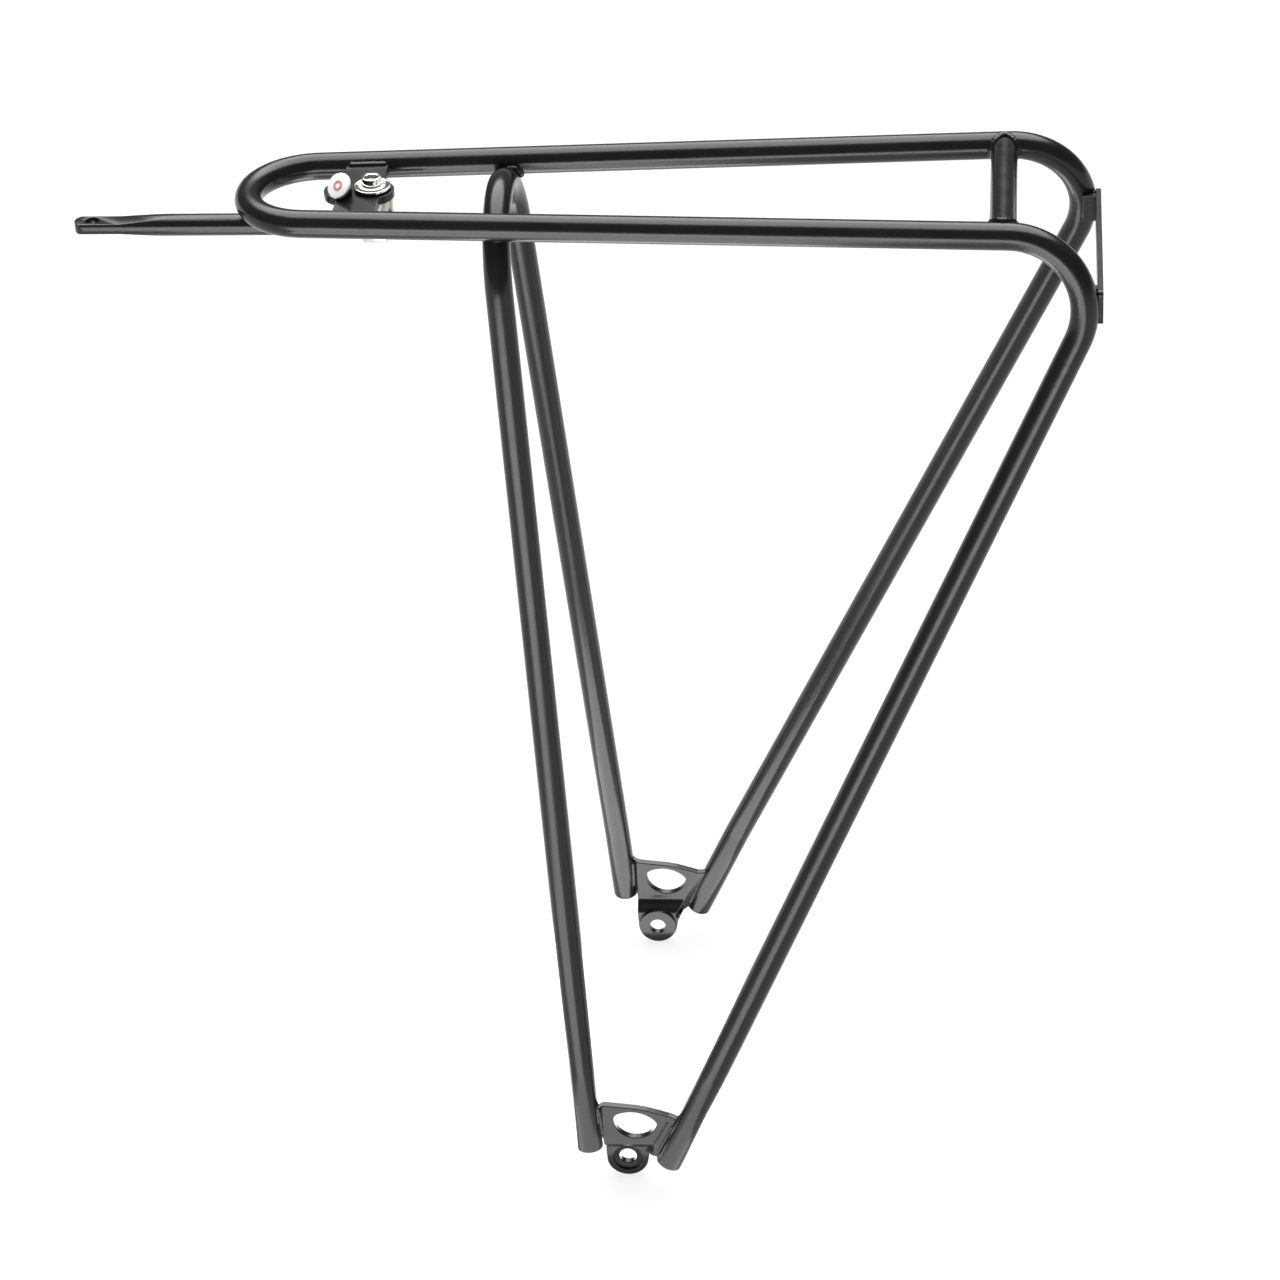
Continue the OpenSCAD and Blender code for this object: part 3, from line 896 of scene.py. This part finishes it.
def leg_seam(path, direction, face_y, low, high, sign):
    """Line where a face of the foot plate meets a leg, direction 1 for its rear side."""
    pts = []
    for z in np.linspace(low, high, 12):
        z = float(z)
        x, y = leg_at(path, z)
        reach = math.sqrt(max(TUBE_R ** 2 - (y - face_y) ** 2, 1.0)) * (1.0 if direction > 0 else 1.08)
        pts.append(Vector((x + direction * (reach + 0.15), sign * face_y, z)))
    return pts


def foot_beads(sign):
    """Beads along both legs on each face of the foot plate, and one along its rear crease."""
    outer = PANEL_Y + FOOT_T
    seams = ((HOOP, 1, outer + 1.4, 15.5, 27.6), (HOOP, 1, PANEL_Y + 1.4, 15.5, 27.6),
             (MAIN, -1, outer + 1.9, 7.5, 21.0), (MAIN, -1, PANEL_Y + 2.2, 6.5, 21.0))
    beads = [(leg_seam(*seam, sign), 0.8, False) for seam in seams]
    crease = [Vector((x, sign * (outer + set_over(x, z) + 0.05), z)) for x, z in CREASE_BEAD]
    return [*beads, (crease, 0.4, False)]


for side, sign in (("left", -1), ("right", 1)):
    weld(f"{side}_crossbar_weld", [(crossbar_seam(sign), 1.3, True)])
    weld(f"{side}_crown_weld", [(crown_seam(sign), 1.1, True)])
    weld(f"{side}_bracket_weld", [(bracket_seam(sign, BRACKET_Z + 0.1), 1.15, False),
                                  (bracket_seam(sign, BRACKET_Z - BRACKET_T - 0.1), 1.1, False)])
    weld(f"{side}_foot_weld", foot_beads(sign))
    weld(f"{side}_light_weld", [([Vector((x, sign * y, z)) for x, y, z in ends], radius, False)
                                for ends, radius in LIGHT_BEADS])


# ---------------------------------------------------------------- camera, light and floor

def camera():
    """Three-quarter view from the left, a little above, matching the reference angle."""
    data = bpy.data.cameras.new("camera")
    data.sensor_width = CAMERA_SENSOR
    data.lens = CAMERA_LENS
    data.clip_start, data.clip_end = CAMERA_CLIP
    obj = bpy.data.objects.new("camera", data)
    bpy.context.scene.collection.objects.link(obj)
    m = Matrix((CAMERA_RIGHT, CAMERA_UP, -CAMERA_AHEAD)).transposed().to_4x4()
    m.translation = CAMERA_AT * MM
    obj.matrix_world = m
    bpy.context.scene.camera = obj


def area_light(name, at, towards, size, power):
    data = bpy.data.lights.new(name, "AREA")
    data.shape = "RECTANGLE"
    data.size, data.size_y = size
    data.energy = power
    obj = bpy.data.objects.new(name, data)
    obj.location = at
    obj.rotation_mode = "QUATERNION"
    obj.rotation_quaternion = (Vector(towards) - Vector(at)).to_track_quat("-Z", "Y")
    obj.visible_camera = False
    bpy.context.scene.collection.objects.link(obj)


def floor():
    """Plain pale floor just under the feet, lit a little from within like a light table."""
    z = CAD_BOX[0].z - FLOOR_DROP
    mesh = bpy.data.meshes.new("floor")
    mesh.from_pydata([(-FLOOR_HALF, -FLOOR_HALF, z), (FLOOR_HALF, -FLOOR_HALF, z),
                      (FLOOR_HALF, FLOOR_HALF, z), (-FLOOR_HALF, FLOOR_HALF, z)], [], [(0, 1, 2, 3)])
    material, tree, shader, coords = node_material("pale_floor")
    cloud = noise(tree, coords, 3, 2)
    shades = ramp(tree, cloud.outputs["Fac"], [(0.3, FLOOR_SHADES[0]), (0.7, FLOOR_SHADES[1])])
    tree.links.new(shades.outputs["Color"], shader.inputs["Base Color"])
    shader.inputs["Roughness"].default_value = 0.9
    shader.inputs["Specular IOR Level"].default_value = 0.0
    shader.inputs["Emission Color"].default_value = (1, 1, 1, 1)
    shader.inputs["Emission Strength"].default_value = FLOOR_GLOW
    mesh.materials.append(material)
    obj = bpy.data.objects.new("floor", mesh)
    bpy.context.scene.collection.objects.link(obj)


def world():
    """Dim room with one broad soft box overhead, behind the object."""
    w = bpy.data.worlds.new("studio")
    w.use_nodes = True
    tree = w.node_tree
    coords = tree.nodes.new("ShaderNodeTexCoord")
    toward = tree.nodes.new("ShaderNodeVectorMath")
    toward.operation = "DOT_PRODUCT"
    toward.inputs[1].default_value = SOFT_BOX
    tree.links.new(coords.outputs["Generated"], toward.inputs[0])
    glow = tree.nodes.new("ShaderNodeMapRange")
    glow.interpolation_type = "SMOOTHSTEP"
    glow.inputs["From Min"].default_value = math.cos(math.radians(SOFT_BOX_EDGE[0]))
    glow.inputs["From Max"].default_value = math.cos(math.radians(SOFT_BOX_EDGE[1]))
    glow.inputs["To Min"].default_value = ROOM_GLOW
    glow.inputs["To Max"].default_value = SOFT_BOX_GLOW
    tree.links.new(toward.outputs["Value"], glow.inputs["Value"])
    tree.links.new(glow.outputs["Result"], tree.nodes["Background"].inputs["Strength"])
    tree.nodes["Background"].inputs["Color"].default_value = (1, 1, 1, 1)
    bpy.context.scene.world = w


camera()
floor()
world()
low = CAD_BOX[0].z + BOUNCE_RISE
for name, x, y, size, power in BOUNCES:
    area_light(name, (x, y, low), (x, y, 1.0), size, power)
bpy.context.scene.view_settings.view_transform = "Standard"
